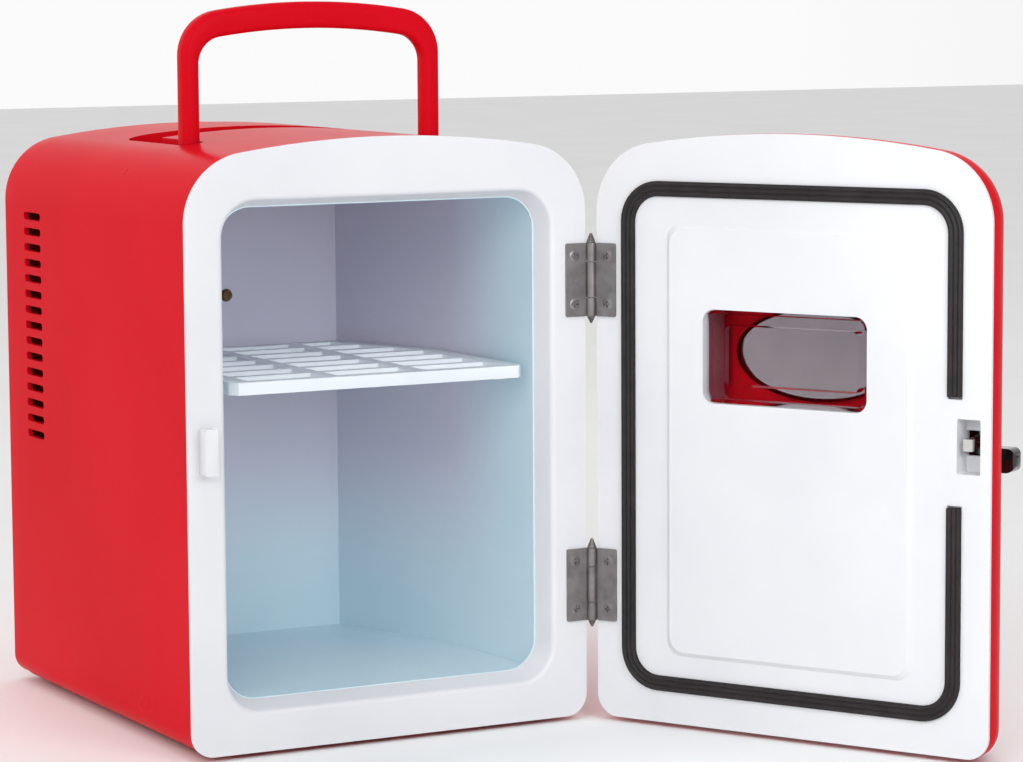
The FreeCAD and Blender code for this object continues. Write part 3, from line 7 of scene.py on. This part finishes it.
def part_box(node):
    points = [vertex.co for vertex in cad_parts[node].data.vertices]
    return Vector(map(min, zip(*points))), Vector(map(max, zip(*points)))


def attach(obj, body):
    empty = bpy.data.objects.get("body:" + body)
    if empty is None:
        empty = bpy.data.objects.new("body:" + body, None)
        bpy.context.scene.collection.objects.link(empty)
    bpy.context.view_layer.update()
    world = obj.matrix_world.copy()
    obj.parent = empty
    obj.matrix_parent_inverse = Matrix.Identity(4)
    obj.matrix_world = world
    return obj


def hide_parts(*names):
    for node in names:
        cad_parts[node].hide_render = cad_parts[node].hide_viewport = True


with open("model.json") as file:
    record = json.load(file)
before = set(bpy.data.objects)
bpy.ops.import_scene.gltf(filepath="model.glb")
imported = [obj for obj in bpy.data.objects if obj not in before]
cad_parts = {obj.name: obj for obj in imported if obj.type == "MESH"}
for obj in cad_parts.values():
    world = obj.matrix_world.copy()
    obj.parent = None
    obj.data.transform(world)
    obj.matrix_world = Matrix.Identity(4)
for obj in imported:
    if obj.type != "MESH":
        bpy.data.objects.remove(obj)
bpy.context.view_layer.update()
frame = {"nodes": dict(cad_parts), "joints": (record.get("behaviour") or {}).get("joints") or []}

# Looks of the mini fridge. The CAD nodes get their materials, with edges rounded or split by
# modifiers. The carry handle and the door's seal are built here as finer pieces in their place.
# Lengths are in metres unless a comment says otherwise.

MM = 0.001
NODES = frame["nodes"]
JOINTS = {joint["name"]: joint for joint in frame["joints"]}
HINGE = Vector(JOINTS["door_hinge"]["pos_m"])
DOOR_OPEN = -math.radians(JOINTS["door_hinge"]["range_deg"][0])
BEZEL_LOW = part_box("front_bezel")[0]
FRONT = BEZEL_LOW.y
BASE = BEZEL_LOW.z
DOOR_GAP = 2.5 * MM
DOOR_FACE = FRONT - DOOR_GAP             # inner face of the closed door
RAMP_START = 0.3
RAMP_END = 0.7
BEVEL_SEGMENTS = 2

CAMERA_AZIMUTH = 28.214                  # degrees
CAMERA_ELEVATION = 6.465
CAMERA_ROLL = -0.335
CAMERA_DISTANCE = 1.54583
CAMERA_SIDE_SHIFT = 0.05102
CAMERA_RISE_SHIFT = 0.01544
CAMERA_TARGET_HEIGHT = 0.14136
CAMERA_LENS = 127.08                     # millimetres
SENSOR_WIDTH = 36.0                      # millimetres

HANDLE_LEG = 8 * MM
HANDLE_BAR = 11.7 * MM
HANDLE_CROWN = 300 * MM
HANDLE_CORNER = 20 * MM
HANDLE_ROUNDING = 2.6 * MM               # long edges of the bar
ARCH_STEPS = 12
FOOT_ANGLES = (15, 30, 45, 60, 75, 86)   # degrees round the half round that ends a leg

SEAL_HALF = 81.9 * MM                    # half width of the seal's outline
SEAL_CORNER = 18 * MM
SEAL_LINE = 3.25 * MM                    # from the outline to the middle of the groove
SEAL_WIDE = 6.4 * MM
SEAL_SEAT = 1.8 * MM                     # depth in the groove
SEAL_EDGE = 1.3 * MM                     # height of its edges above the door's face
RIB_MIDDLE = 1.4 * MM
RIB_SWING = 0.35 * MM
RIB_COUNT = 3
GAP_LOW = 105.6 * MM                     # gap in the seal beside the latch
GAP_HIGH = 152.2 * MM


# ---------------------------------------------------------------- camera, floor and light

def direction(azimuth, elevation):
    """Viewing direction of a camera that stands in front, over to the left, and looks down."""
    turn, tilt = math.radians(azimuth), math.radians(elevation)
    return Vector((math.sin(turn) * math.cos(tilt), math.cos(turn) * math.cos(tilt), -math.sin(tilt)))


def make_camera():
    look = direction(CAMERA_AZIMUTH, CAMERA_ELEVATION)
    right = Vector((look.y, -look.x, 0)).normalized()
    up = right.cross(look)
    roll = math.radians(CAMERA_ROLL)
    side = right * math.cos(roll) + up * math.sin(roll)
    rise = up * math.cos(roll) - right * math.sin(roll)
    target = Vector((0, FRONT, CAMERA_TARGET_HEIGHT))
    place = target - look * CAMERA_DISTANCE + side * CAMERA_SIDE_SHIFT + rise * CAMERA_RISE_SHIFT
    data = bpy.data.cameras.new("camera")
    data.lens = CAMERA_LENS
    data.sensor_width = SENSOR_WIDTH
    data.clip_start = 0.05
    camera = bpy.data.objects.new("camera", data)
    camera.matrix_world = Matrix.Translation(place) @ Matrix((side, rise, -look)).transposed().to_4x4()
    bpy.context.scene.collection.objects.link(camera)
    bpy.context.scene.camera = camera


def area_light(name, place, target, size, power, colour=(1, 1, 1)):
    data = bpy.data.lights.new(name, "AREA")
    data.shape = "RECTANGLE"
    data.size, data.size_y = size
    data.energy = power
    data.color = colour
    light = bpy.data.objects.new(name, data)
    light.location = place
    light.rotation_euler = (Vector(target) - Vector(place)).to_track_quat("-Z", "Y").to_euler()
    bpy.context.scene.collection.objects.link(light)


def make_world():
    """White surroundings, bright behind and to the left, dim to the front right."""
    world = bpy.data.worlds.new("studio")
    world.use_nodes = True
    tree = world.node_tree
    background = tree.nodes["Background"]
    background.inputs["Color"].default_value = (1.0, 1.0, 1.0, 1)
    facing = tree.nodes.new("ShaderNodeVectorMath")
    facing.operation = "DOT_PRODUCT"
    facing.inputs[1].default_value = (-0.6, 0.8, 0)
    tree.links.new(tree.nodes.new("ShaderNodeTexCoord").outputs["Generated"], facing.inputs[0])
    spread = tree.nodes.new("ShaderNodeMapRange")
    spread.inputs["From Min"].default_value = -1.0
    spread.inputs["From Max"].default_value = 0.35
    spread.inputs["To Min"].default_value = 0.18
    spread.inputs["To Max"].default_value = 0.96
    tree.links.new(facing.outputs["Value"], spread.inputs["Value"])
    tree.links.new(spread.outputs["Result"], background.inputs["Strength"])
    bpy.context.scene.world = world


def make_studio():
    make_world()
    area_light("key", (-1.5, -1.65, 1.3), (0, 0, 0.12), (1.2, 1.0), 13.5)
    area_light("fill", (-0.2, -2.0, 0.9), (0.05, -0.1, 0.15), (1.0, 1.2), 1.0)
    area_light("top", (0.0, 0.2, 1.9), (0, 0, 0.1), (1.6, 1.6), 5)
    area_light("inside", (0.10, -0.75, 0.40), (0.0, 0.0, 0.12), (0.3, 0.3), 1.6, (0.90, 0.96, 1.0))
    bpy.context.scene.view_settings.view_transform = "Standard"


def make_floor():
    bpy.ops.mesh.primitive_plane_add(size=14, location=(0, 0, 0))
    floor = bpy.context.object
    floor.name = "studio_floor"
    build = Material("floor", roughness=0.75)
    build.colour(build.noise(6.0, 3.0), (0.90, 0.90, 0.90), (0.93, 0.93, 0.93))
    floor.data.materials.append(build.material)


# ---------------------------------------------------------------- materials

class Material:
    """Procedural material: one Principled shader with noise driven colour, roughness and bump."""

    def __init__(self, name, **values):
        self.material = bpy.data.materials.new(name)
        self.material.use_nodes = True
        self.tree = self.material.node_tree
        self.shader = self.tree.nodes["Principled BSDF"]
        self.place = self.node("ShaderNodeTexCoord").outputs["Object"]
        names = {"roughness": "Roughness", "metallic": "Metallic", "coat": "Coat Weight", "ior": "IOR",
                 "coat_roughness": "Coat Roughness", "specular": "Specular IOR Level",
                 "transmission": "Transmission Weight"}
        for key, value in values.items():
            self.shader.inputs[names[key]].default_value = value

    def node(self, kind):
        return self.tree.nodes.new(kind)

    def link(self, start, end):
        self.tree.links.new(start, end)

    def noise(self, scale, detail=2.0, stretch=(1, 1, 1)):
        """Noise whose scale counts features per metre."""
        texture = self.node("ShaderNodeTexNoise")
        texture.inputs["Scale"].default_value = scale
        texture.inputs["Detail"].default_value = detail
        mapping = self.node("ShaderNodeMapping")
        mapping.inputs["Scale"].default_value = stretch
        self.link(self.place, mapping.inputs["Vector"])
        self.link(mapping.outputs["Vector"], texture.inputs["Vector"])
        return texture.outputs["Fac"]

    def ramp(self, factor, low, high):
        """Colour going from low to high as the factor goes from RAMP_START to RAMP_END."""
        ramp = self.node("ShaderNodeValToRGB")
        ramp.color_ramp.elements[0].position = RAMP_START
        ramp.color_ramp.elements[1].position = RAMP_END
        ramp.color_ramp.elements[0].color = (*low, 1)
        ramp.color_ramp.elements[1].color = (*high, 1)
        self.link(factor, ramp.inputs["Fac"])
        return ramp.outputs["Color"]

    def colour(self, factor, low, high):
        self.link(self.ramp(factor, low, high), self.shader.inputs["Base Color"])

    def rough(self, factor, low, high):
        spread = self.node("ShaderNodeMapRange")
        spread.inputs["To Min"].default_value = low
        spread.inputs["To Max"].default_value = high
        self.link(factor, spread.inputs["Value"])
        self.link(spread.outputs["Result"], self.shader.inputs["Roughness"])

    def bump(self, height, strength, distance):
        bump = self.node("ShaderNodeBump")
        bump.inputs["Strength"].default_value = strength
        bump.inputs["Distance"].default_value = distance
        self.link(height, bump.inputs["Height"])
        self.link(bump.outputs["Normal"], self.shader.inputs["Normal"])

    def mix(self, factor, low, high):
        """Blend of two colour outputs."""
        mix = self.node("ShaderNodeMix")
        mix.data_type = "RGBA"
        self.link(factor, mix.inputs[0])
        self.link(low, mix.inputs[6])
        self.link(high, mix.inputs[7])
        return mix.outputs[2]

    def gradient(self, axis, start, end):
        """0 to 1 between two places along an axis of the object's frame."""
        split = self.node("ShaderNodeSeparateXYZ")
        self.link(self.place, split.inputs["Vector"])
        spread = self.node("ShaderNodeMapRange")
        spread.interpolation_type = "SMOOTHSTEP"
        spread.inputs["From Min"].default_value = start
        spread.inputs["From Max"].default_value = end
        self.link(split.outputs[axis], spread.inputs["Value"])
        return spread.outputs["Result"]


def red_plastic():
    """Moulded red with a slight drift in colour and a very fine grain."""
    m = Material("red_gloss_plastic", roughness=0.25, specular=0.02)
    m.colour(m.noise(9, 4), (0.640, 0.004, 0.012), (0.700, 0.006, 0.017))
    m.rough(m.noise(30, 2), 0.26, 0.32)
    m.bump(m.noise(2400, 1), 0.02, 0.0001)
    return m.material


def white_plastic():
    """Smooth cool white moulding with very light mottling."""
    m = Material("white_moulded_plastic", roughness=0.35, coat=0.1, coat_roughness=0.2)
    m.colour(m.noise(12, 3), (0.73, 0.725, 0.75), (0.79, 0.785, 0.805))
    m.rough(m.noise(60, 3), 0.30, 0.44)
    m.bump(m.noise(1400, 2), 0.05, 0.00015)
    return m.material


def shelf_plastic():
    m = Material("white_shelf_plastic", roughness=0.4)
    m.colour(m.noise(18, 3), (0.74, 0.78, 0.82), (0.84, 0.87, 0.90))
    m.rough(m.noise(90, 2), 0.34, 0.5)
    m.bump(m.noise(1600, 2), 0.08, 0.00015)
    return m.material


def liner_metal():
    """Satin sheet with painted shade (lilac) at the back and painted light (pale cyan) low down and at the
    front, with fine rolling marks.
    """
    m = Material("satin_liner_sheet", roughness=0.4, metallic=0.1)
    # Painted shade: the lilac tone stands for the sheet in shadow at the back; the pale cyan tone is painted
    # light for the sheet lit through the opening.
    shade = m.ramp(m.noise(7, 4), (0.62, 0.59, 0.69), (0.70, 0.67, 0.77))
    cool = m.ramp(m.noise(9, 3), (0.60, 0.77, 0.84), (0.70, 0.84, 0.90))
    # Painted light: the blends turn to the pale cyan tone towards the floor and towards the opening.
    low = m.mix(m.gradient("Z", 0.13, 0.03), shade, cool)
    painted_light_and_shade = m.mix(m.gradient("Y", -0.02, -0.09), low, cool)
    m.link(painted_light_and_shade, m.shader.inputs["Base Color"])
    m.rough(m.noise(40, 3, (1, 1, 14)), 0.34, 0.5)
    m.bump(m.noise(260, 2, (1, 1, 0.08)), 0.08, 0.0002)
    return m.material


def plain_metal(name, low, high, roughness, stretch=(1, 1, 30)):
    m = Material(name, metallic=1.0, roughness=roughness)
    m.colour(m.noise(160, 4, stretch), low, high)
    m.rough(m.noise(300, 3, stretch), roughness - 0.08, roughness + 0.12)
    m.bump(m.noise(1500, 2, stretch), 0.12, 0.0001)
    return m.material


def hinge_steel():
    return plain_metal("hinge_steel", (0.22, 0.20, 0.20), (0.33, 0.30, 0.30), 0.36, (1, 1, 1))


def rubber(name, low, high):
    m = Material(name, roughness=0.6, specular=0.35)
    m.colour(m.noise(120, 4), low, high)
    m.rough(m.noise(500, 2), 0.5, 0.72)
    m.bump(m.noise(2600, 2), 0.25, 0.0002)
    return m.material


def black_plastic():
    m = Material("black_gloss_plastic", roughness=0.16, coat=0.5, coat_roughness=0.06)
    m.colour(m.noise(60, 3), (0.006, 0.006, 0.007), (0.014, 0.013, 0.014))
    m.rough(m.noise(140, 2), 0.12, 0.24)
    m.bump(m.noise(1200, 2), 0.05, 0.0001)
    return m.material


def clear_plastic(name, low, high, roughness):
    """Clear moulding with a refractive index close to that of air."""
    m = Material(name, transmission=1.0, ior=1.06, roughness=roughness)
    m.colour(m.noise(30, 2), low, high)
    m.rough(m.noise(200, 2), roughness, roughness + 0.06)
    m.bump(m.noise(400, 2), 0.03, 0.0001)
    return m.material


def foam(name, low, high):
    """Porous foam: pale round the liner; the dark red beside the door's window is painted shade for the
    shaded red walls of that hollow.
    """
    m = Material(name, roughness=0.9)
    m.colour(m.noise(90, 5), low, high)
    m.bump(m.noise(600, 4), 0.6, 0.0006)
    return m.material


def board():
    m = Material("board_green", roughness=0.4)
    m.colour(m.noise(220, 2), (0.01, 0.09, 0.03), (0.03, 0.17, 0.06))
    m.bump(m.noise(900, 3), 0.3, 0.0002)
    return m.material


def led():
    m = Material("indicator_lens", roughness=0.2, transmission=0.5)
    m.colour(m.noise(400, 2), (0.10, 0.55, 0.16), (0.25, 0.80, 0.30))
    m.bump(m.noise(900, 2), 0.1, 0.0001)
    return m.material


def ceramic():
    m = Material("ceramic_plate", roughness=0.5)
    m.colour(m.noise(150, 3), (0.72, 0.72, 0.70), (0.84, 0.84, 0.82))
    m.bump(m.noise(1500, 2), 0.1, 0.0001)
    return m.material


# ---------------------------------------------------------------- carried-over nodes

def shape_up(node, bevel, angle):
    """Smooth shading, and modifiers that join facets and round the edges (bevel in mm) or split them."""
    item = NODES[node]
    for polygon in item.data.polygons:
        polygon.use_smooth = True
    weld = item.modifiers.new("weld", "WELD")
    weld.merge_threshold = 0.002 * MM
    if bevel:
        flat = item.modifiers.new("flat", "DECIMATE")
        flat.decimate_type = "DISSOLVE"
        flat.angle_limit = math.radians(0.5)
        rounding = item.modifiers.new("rounding", "BEVEL")
        rounding.width = bevel * MM
        rounding.segments = BEVEL_SEGMENTS
        rounding.limit_method = "ANGLE"
        rounding.angle_limit = math.radians(angle)
        rounding.use_clamp_overlap = True
        rounding.harden_normals = True
    else:
        split = item.modifiers.new("edges", "EDGE_SPLIT")
        split.split_angle = math.radians(angle)


def finish(material, bevel, *names, angle=35):
    for name in names:
        item = NODES[name]
        item.data.materials.clear()
        item.data.materials.append(material)
        shape_up(name, bevel, angle)


def finish_nodes():
    red = red_plastic()
    white = white_plastic()
    steel = hinge_steel()
    black = black_plastic()
    alloy = plain_metal("extruded_alloy", (0.50, 0.50, 0.51), (0.66, 0.66, 0.67), 0.38)
    pale_foam = foam("pale_foam", (0.72, 0.66, 0.50), (0.86, 0.82, 0.68))
    # Painted shade: this dark red stands in for the red walls beside the door's window in shadow.
    shaded_red_foam = foam("shaded_red_foam", (0.26, 0.04, 0.06), (0.36, 0.07, 0.09))
    finish(red, 0.0, "outer_shell", "rear_cover", "door_outer_shell")
    finish(white, 0.0, "front_bezel", "door_inner_panel", angle=22)
    finish(white, 0.5, "latch_striker")
    finish(shelf_plastic(), 0.35, "shelf", "shelf_rails")
    finish(liner_metal(), 0.0, "inner_liner")
    finish(steel, 0.0, "hinge_upper_cabinet_leaf", "hinge_lower_cabinet_leaf", "hinge_upper_door_leaf",
           "hinge_lower_door_leaf", "hinge_screws_cabinet", "hinge_screws_door", "latch_pin", "latch_spring",
           "handle_pins", "fan_screws", "board_screws", "rear_cover_screws")
    finish(plain_metal("pin_steel", (0.10, 0.09, 0.085), (0.22, 0.20, 0.19), 0.4), 0.0, "hinge_upper_pin",
           "hinge_lower_pin")
    finish(plain_metal("bright_steel", (0.60, 0.59, 0.57), (0.78, 0.77, 0.75), 0.22), 0.0, "latch_tongue")
    finish(plain_metal("brown_screw", (0.10, 0.055, 0.03), (0.20, 0.12, 0.07), 0.45), 0.0, "liner_screws")
    finish(alloy, 0.0, "cold_block", "hot_heatsink")
    finish(ceramic(), 0.0, "peltier_module")
    finish(pale_foam, 0.0, "cabinet_insulation")
    finish(shaded_red_foam, 0.0, "door_insulation")
    finish(black, 0.0, "latch_lever", "fan_frame", "fan_rotor", "mode_switch_frame", "mode_switch_rocker",
           "ac_inlet", "dc_inlet")
    finish(board(), 0.0, "power_board")
    finish(led(), 0.0, "indicator_leds")
    finish(rubber("foot_rubber", (0.012, 0.012, 0.012), (0.03, 0.03, 0.03)), 0.0, "rubber_feet")
    clear = clear_plastic("clear_tray", (0.96, 0.97, 0.98), (1.0, 1.0, 1.0), 0.03)
    finish(clear, 0.0, "window_inner_tray")
    tinted = clear_plastic("tinted_lens", (0.30, 0.26, 0.29), (0.36, 0.31, 0.34), 0.10)
    finish(tinted, 0.0, "window_oval_lens")
    door_gasket(rubber("gasket_rubber", (0.014, 0.010, 0.011), (0.026, 0.019, 0.020)))
    carry_handle(red)


# ---------------------------------------------------------------- pieces built here

def new_piece(name, vertices, faces, material, body, replaced):
    mesh = bpy.data.meshes.new(name)
    mesh.from_pydata([tuple(vertex) for vertex in vertices], [], faces)
    mesh.validate()
    mesh.materials.append(material)
    for polygon in mesh.polygons:
        polygon.use_smooth = True
    piece = bpy.data.objects.new(name, mesh)
    bpy.context.scene.collection.objects.link(piece)
    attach(piece, body)
    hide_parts(replaced)
    return piece


def skin(rings):
    """Quads between equal rings of points along a path, with a flat cap on each end."""
    count, size = len(rings), len(rings[0])
    vertices = [point for ring in rings for point in ring]
    faces = []
    for index in range(count - 1):
        here, ahead = index * size, (index + 1) * size
        for step in range(size):
            after = (step + 1) % size
            faces.append((here + step, here + after, ahead + after, ahead + step))
    faces.append(tuple(range(size - 1, -1, -1)))
    faces.append(tuple(range((count - 1) * size, count * size)))
    return vertices, faces


def arch(half, apex, crown, corner, foot, steps):
    """Points of an arch from the left foot, round the corner and over the crown to the right foot."""
    reach = crown - corner
    lean = math.acos((half - corner) / reach)
    corner_z = apex - crown + reach * math.sin(lean)
    points = []
    for index in range(steps):
        points.append((-half, foot + (corner_z - foot) * index / steps))
    for index in range(steps):
        angle = math.pi - lean * index / steps
        points.append((-half + corner + corner * math.cos(angle), corner_z + corner * math.sin(angle)))
    for index in range(steps * 2 + 1):
        angle = math.pi - lean - (math.pi - 2 * lean) * index / (steps * 2)
        points.append((crown * math.cos(angle), apex - crown + crown * math.sin(angle)))
    left = points[:steps * 2]
    return points + [(-x, z) for x, z in reversed(left)]


def rounded_section(half_wide, half_deep, corner, steps=4):
    """Rounded rectangle about its own middle."""
    points = []
    for sx, sy, start in ((1, 1, 0), (-1, 1, 1), (-1, -1, 2), (1, -1, 3)):
        for index in range(steps + 1):
            angle = math.pi / 2 * (start + index / steps)
            points.append((sx * (half_wide - corner) + corner * math.cos(angle),
                           sy * (half_deep - corner) + corner * math.sin(angle)))
    return points


def carry_handle(material):
    """Bail swept as a rounded bar, thicker at the crossbar, with a half-round foot at each pin."""
    low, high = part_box("carry_handle")
    middle_y = (low.y + high.y) / 2
    half_deep = (high.y - low.y) / 2
    pivot = JOINTS["handle_pivot"]["pos_m"][2]
    inner_corner = HANDLE_CORNER - HANDLE_LEG
    outer = arch(high.x, high.z, HANDLE_CROWN, HANDLE_CORNER, pivot, ARCH_STEPS)
    inner = arch(high.x - HANDLE_LEG, high.z - HANDLE_BAR, HANDLE_CROWN, inner_corner, pivot, ARCH_STEPS)
    rings = []
    for (outer_x, outer_z), (inner_x, inner_z) in zip(outer, inner):
        out_point = Vector((outer_x, middle_y, outer_z))
        in_point = Vector((inner_x, middle_y, inner_z))
        centre = (out_point + in_point) / 2
        across = (out_point - in_point) / 2
        ring = []
        for u, v in rounded_section(across.length, half_deep, HANDLE_ROUNDING):
            ring.append(centre + across.normalized() * u + Vector((0, v, 0)))
        rings.append(ring)
    left = round_foot(rings[0], middle_y, half_deep, pivot)
    right = round_foot(rings[-1], middle_y, half_deep, pivot)
    vertices, faces = skin(list(reversed(left)) + rings + right)
    new_piece("handle_bail", vertices, faces, material, "handle", "carry_handle")


def round_foot(ring, middle_y, radius, pivot):
    """Sections below the pivot that close a leg in a half round."""
    sections = []
    for angle in FOOT_ANGLES:
        turn = math.radians(angle)
        sections.append([Vector((point.x, middle_y + (point.y - middle_y) * math.cos(turn),
                                 pivot - radius * math.sin(turn))) for point in ring])
    return sections


def opened(point):
    """Where a point of the closed door stands once the door is open."""
    turn = Matrix.Rotation(DOOR_OPEN, 3, "Z")
    foot = Vector((HINGE.x, HINGE.y, 0))
    return turn @ (Vector(point) - foot) + foot


def gasket_path(half, low, high, corner, gap_low, gap_high):
    """Places and outward directions round the door, from above the gap to below it."""
    steps = 10
    path = [((-half, gap_high), (-1, 0))]
    corners = [(-half + corner, high - corner, 180), (half - corner, high - corner, 90),
               (half - corner, low + corner, 0), (-half + corner, low + corner, -90)]
    for centre_x, centre_z, start in corners:
        for index in range(steps + 1):
            angle = math.radians(start - 90 * index / steps)
            away = (math.cos(angle), math.sin(angle))
            path.append(((centre_x + corner * away[0], centre_z + corner * away[1]), away))
    path.append(((-half, gap_low), (-1, 0)))
    return path


def door_gasket(material):
    """Magnetic seal: a strip with three ribs along it, seated in the door's groove."""
    low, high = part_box("door_gasket")
    middle = SEAL_WIDE / 2
    path = gasket_path(SEAL_HALF - SEAL_LINE, low.z + middle, high.z - middle, SEAL_CORNER - SEAL_LINE,
                       BASE + GAP_LOW, BASE + GAP_HIGH)
    steps = RIB_COUNT * 6
    section = [(-middle, -SEAL_SEAT), (-middle, SEAL_EDGE)]
    for index in range(1, steps):
        across = -middle + SEAL_WIDE * index / steps
        crest = RIB_SWING * math.cos(index / steps * RIB_COUNT * math.tau)
        section.append((across, RIB_MIDDLE - crest))
    section += [(middle, SEAL_EDGE), (middle, -SEAL_SEAT)]
    rings = []
    for (x, z), away in path:
        rings.append([opened((x + away[0] * across, DOOR_FACE + rise, z + away[1] * across))
                      for across, rise in section])
    vertices, faces = skin(rings)
    piece = new_piece("ribbed_gasket", vertices, faces, material, "door", "door_gasket")
    split = piece.modifiers.new("edges", "EDGE_SPLIT")
    split.split_angle = math.radians(40)


make_camera()
make_studio()
make_floor()
finish_nodes()
